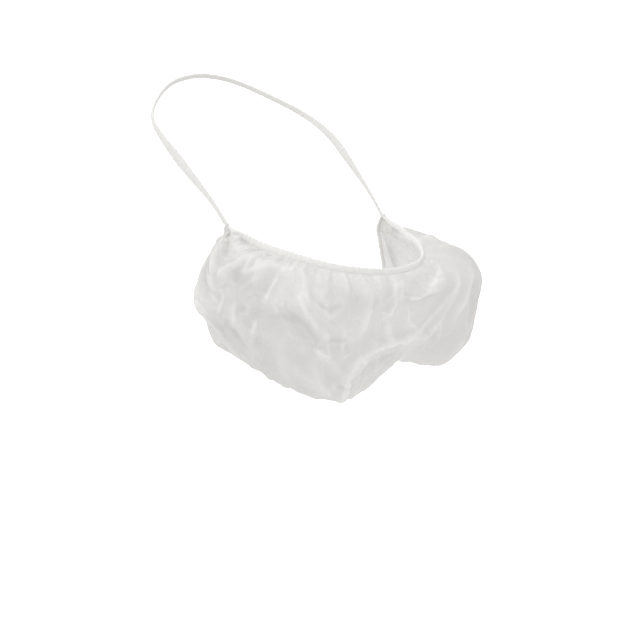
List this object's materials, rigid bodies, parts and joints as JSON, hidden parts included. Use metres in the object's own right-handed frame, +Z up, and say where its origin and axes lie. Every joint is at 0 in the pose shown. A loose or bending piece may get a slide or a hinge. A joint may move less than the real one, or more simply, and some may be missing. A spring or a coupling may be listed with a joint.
{
  "type": "beard cover",
  "caption": "Thin cloth pouch worn over chin and jaw, gathered at both ears, with elastic hems and a gathered elastic strap round the back of the head.",
  "frame": {"origin": "inner face of the strap at the middle of the back of the head, where the strap hangs on the head", "axes": "-Y is the way the wearer faces, +X is the wearer's left, +Z is up"},
  "size_m": [0.2231, 0.2054, 0.2133],
  "materials": {
    "pouch_cloth": "thin white nonwoven, crumpled and slightly see-through",
    "hem_cloth": "white nonwoven gathered over elastic",
    "strap_cloth": "white nonwoven sleeve gathered over elastic",
    "gather_cloth": "white nonwoven in tight pleats"
  },
  "bodies": {
    "root": {"pouch": "pouch_cloth", "chin_hem": "hem_cloth", "throat_hem": "hem_cloth", "head_strap": "strap_cloth", "ear_gather_right": "gather_cloth", "ear_gather_left": "gather_cloth"}
  },
  "joints": []
}
